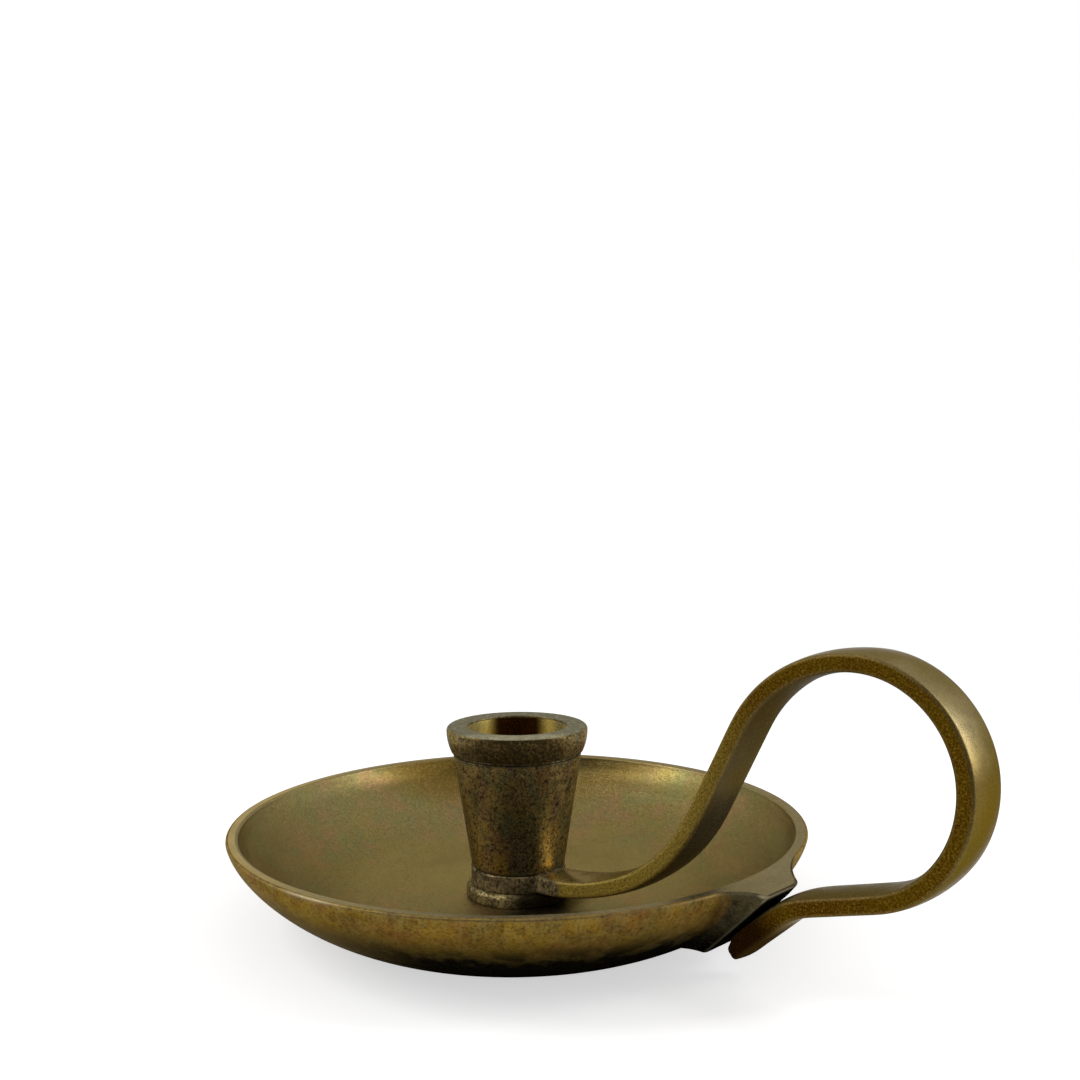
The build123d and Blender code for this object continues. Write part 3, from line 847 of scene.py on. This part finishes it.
def handleFinish(looks):
    paint = newPaint("handleBrass", looks)
    x, z = paint.along("X"), paint.along("Z")
    edgeZone, hollowZone = paint.zone("narrow"), paint.zone("loopInside")
    fromAxis = paint.length(paint.drawn((1, 1, 0)))
    eyeZone = 1 - paint.span(fromAxis - looks["eyeFlare"] * mm * edgeZone, "eye")
    cloud, blotch = paint.patches("cloud", 0.38, 0.62, 3), paint.patches("blotch")
    warm = paint.patches("warm", 0.44, 0.62, turn=(0, 60, 0))
    grain, pitted = paint.noise("grain", 3, 0.8), paint.noise("pitted", 3, 0.75)
    light, dark = paint.between(grain, 0.5, 0.66), paint.between(grain, 0.52, 0.36)
    # the tail, up to a height that falls by half of the way outwards, where the strap is past the pan
    height, pastPan = z + (x - looks["tailFrom"] * mm) * 0.5, paint.span(x, "tailStart")
    # painted shade: black on the tail's narrow faces towards its end, dark on its underside
    tail, under = ((1 - paint.span(height, name)) * pastPan for name in ("tailEdge", "tailUnder"))
    # narrow faces: gold on brown, brightest where the strap leaves the eye, painted black as shade at the
    # tail's end
    rubbed = 1 - paint.span(x, "rubbed")
    narrow = paint.layered("narrow", warm * 0.7, rubbed=rubbed, tail=tail, dark=dark)
    narrow = paint.mixed(light * (0.6 - 0.5 * tail), narrow, paint.layered("gold", rubbed))
    # wide faces: smooth and olive, lighter at the root, and browner inside the loop, with painted shade high
    # on its inner face
    high = paint.span(z, "high")
    hollow = paint.layered("hollow", cloud, warm=warm, high=high, front=paint.span(x, "front") * (1 - high))
    wide = paint.layered("wide", paint.span(z, "top"), root=1 - paint.span(x, "root"), cloud=cloud)
    wide = paint.mixed(hollowZone, wide, hollow)
    # under: painted shade on the tail's underside
    wide = paint.coated(wide, "wide", light=light, dark=dark, under=under)
    pits, crests = paint.between(pitted, 0.52, 0.38), paint.between(pitted, 0.52, 0.66)
    eye = paint.layered("eye", blotch, pits=pits, crests=crests)
    colour = paint.mixed(edgeZone, wide, narrow)
    colour = paint.mixed(eyeZone, colour, eye)
    # edges lightened by wear and painted glints, least at the tail
    colour = paint.coated(colour, "edges", worn=paint.zone("worn") * (0.18 - 0.15 * tail))
    flat = 1 - edgeZone
    bare = (0.95 - 0.5 * edgeZone - (0.3 + 0.35 * high) * hollowZone * flat) * (1 - 0.75 * eyeZone)
    bare = bare * (1 - under * flat) * (1 - 0.8 * tail)
    rough = 0.25 + 0.06 * blotch + 0.2 * edgeZone * (1 - eyeZone)
    return paint.finish(colour, bare, rough, grain * (0.15 + 0.85 * edgeZone) + eyeZone * pitted * 0.8)


screwLooks = {
    "metal": {"ground": ((0.3, 0.23, 0.09), (0.12, 0.085, 0.03))},
    "lowAngleTint": (0.55, 0.5, 0.42), "relief": 0.03, "sizes": {"blotch": 2, "grain": 0.5},
}


def screwFinish(looks):
    paint = newPaint("screwBrass", looks)
    blotch, grain = paint.patches("blotch"), paint.noise("grain", 3, 0.6)
    return paint.finish(paint.layered("metal", blotch), 0.95 - 0.4 * blotch, 0.3 + 0.2 * blotch, grain)


def dress(piece, finish, body, node):
    piece.data.materials.clear()
    piece.data.materials.append(finish)
    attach(piece, body)
    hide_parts(node)
    print(piece.name, "made:", len(piece.data.polygons), "faces, stands for", node)


dress(makePan(panSizes), panFinish(panLooks), "stand", "drip_pan")
dress(makeRing(ringSizes), ringFinish(ringLooks), "stand", "seat_ring")
dress(makeSocket(socketSizes), socketFinish(socketLooks), "stand", "candle_socket")
dress(makeHandle(handleSizes, panSizes), handleFinish(handleLooks), "handle", "loop_handle")
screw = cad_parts["socket_screw"]
screw.data.materials.clear()
screw.data.materials.append(screwFinish(screwLooks))
print("screw finished")


# Studio: pale floor, white surround, two tall soft boxes, and a dark card that only the metal sees

studio = {
    "floorSize": 12.0, "floorTone": 0.82, "floorGlow": 0.58, "whiteFrom": 0.13, "whiteAt": 0.4,
    "ambient": 0.4,
    "boxes": {  # azimuth and elevation in degrees, distance, width and height in metres, watts
        "leftBox": (-130, 38, 0.9, 0.24, 0.6, 2.55),
        "rightBox": (38, 27, 0.9, 0.22, 0.8, 3.3),
    },
    "aim": (0.02, 0.0, 0.02),
    "card": {  # an apron on the floor, then upright: (radius, height) in metres
        "profile": ((0.17, 0.003), (0.72, 0.003), (0.75, 0.03), (0.75, 3.0)),
        "azimuth": -47.5, "spread": 50.0, "tone": 0.015, "columns": 33,
    },
}


def seenDirectly(paint):
    # 1 where the camera, a reflection or a refraction looks, 0 where light only falls
    rays = ("Is Camera Ray", "Is Glossy Ray", "Is Transmission Ray")
    return sum(paint.node("ShaderNodeLightPath", {}, {}, ray) for ray in rays)


def makeWorld(light):
    world = bpy.data.worlds.new("studio")
    bpy.context.scene.world = world
    paint = Paint(world)
    level = light["ambient"] + (1 - light["ambient"]) * seenDirectly(paint)
    paint.fill(paint.tree.nodes["Background"], {"Color": (1, 1, 1, 1), "Strength": level})


def grey(tone):
    return (tone, tone, tone, 1)


def stagePiece(name, points, faces):
    mesh = bpy.data.meshes.new(name)
    mesh.from_pydata(points, [], faces)
    piece = added(name, mesh)
    return piece


def makeFloor(light):
    half = light["floorSize"] / 2
    corners = [(-half, -half, 0), (half, -half, 0), (half, half, 0), (-half, half, 0)]
    floor = stagePiece("floor", corners, [(0, 1, 2, 3)])
    # matt where the shadow falls, and from there outwards fading into the white of the surround
    paint = newPaint("floorPale")
    seen = seenDirectly(paint)
    away = paint.length(paint.place())
    matt = paint.node("ShaderNodeBsdfDiffuse", {}, {"Color": grey(light["floorTone"])})
    glow = paint.node("ShaderNodeEmission", {}, {"Strength": seen * light["floorGlow"]})
    near = paint.node("ShaderNodeAddShader", {}, {0: matt, 1: glow})
    white = paint.node("ShaderNodeEmission", {}, {"Strength": 1.0})
    fade = paint.between(away, light["whiteFrom"], light["whiteAt"]) * seen
    both = paint.node("ShaderNodeMixShader", {}, {0: fade, 1: near, 2: white})
    paint.cover(floor, both)


def standAt(azimuth, elevation, distance):
    # angles in degrees: (cos e cos a, cos e sin a, sin e) times the distance
    a, e = radians(azimuth), radians(elevation)
    return Vector((cos(e) * cos(a), cos(e) * sin(a), sin(e))) * distance


def makeLamps(light):
    for name, (azimuth, elevation, distance, width, height, power) in light["boxes"].items():
        lamp = bpy.data.lights.new(name, "AREA")
        lamp.shape, lamp.size, lamp.size_y, lamp.energy = "RECTANGLE", width, height, power
        box, aim = added(name, lamp), Vector(light["aim"])
        box.location = aim + standAt(azimuth, elevation, distance)
        box.rotation_euler = (aim - box.location).to_track_quat("-Z", "Y").to_euler()


def makeCard(card):
    # a curved card on the camera's side: its profile goes round Z between two angles
    count, rows = card["columns"], len(card["profile"])
    angle = np.radians(card["azimuth"] + np.linspace(-card["spread"], card["spread"], count))
    points = goRound(np.array(card["profile"]), angle).reshape(-1, 3)
    corner = (np.arange(rows - 1)[:, None] * count + np.arange(count - 1)).ravel()
    faces = np.stack([corner, corner + 1, corner + 1 + count, corner + count], -1)
    piece = stagePiece("darkCard", points.tolist(), faces.tolist())
    paint = newPaint("cardBlack")
    matt = paint.node("ShaderNodeBsdfDiffuse", {}, {"Color": grey(card["tone"])})
    paint.cover(piece, matt)
    piece.visible_camera = piece.visible_diffuse = piece.visible_shadow = piece.visible_transmission = False


makeWorld(studio)
makeFloor(studio)
makeLamps(studio)
makeCard(studio["card"])
print("studio lit")


# Camera at the photograph's place: metres and degrees in the frame, lens and sensor in millimetres

cameraView = {
    "eye": (0.1904, -0.1872, 0.0950),
    "heading": 44.3,  # the view runs along +Y turned this far to the left
    "pitch": -2.69,
    "roll": -0.50,
    "lens": 39.93,
    "sensor": 36.0,
    "nearest": 0.01,
}


def placeCamera(view):
    heading, pitch, roll = (radians(view[key]) for key in ("heading", "pitch", "roll"))
    ahead = Vector((-sin(heading) * cos(pitch), cos(heading) * cos(pitch), sin(pitch)))
    right = Vector((cos(heading), sin(heading), 0))
    up = right.cross(ahead)
    tiltedRight = right * cos(roll) + up * sin(roll)
    tiltedUp = up * cos(roll) - right * sin(roll)
    lens = bpy.data.cameras.new("camera")
    lens.lens, lens.sensor_width, lens.sensor_fit = view["lens"], view["sensor"], "HORIZONTAL"
    lens.clip_start = view["nearest"]
    camera = added("camera", lens)
    turn = Matrix((tiltedRight, tiltedUp, -ahead)).transposed().to_4x4()
    camera.matrix_world = Matrix.Translation(view["eye"]) @ turn
    bpy.context.scene.camera = camera


placeCamera(cameraView)
bpy.context.scene.view_settings.view_transform = "Standard"
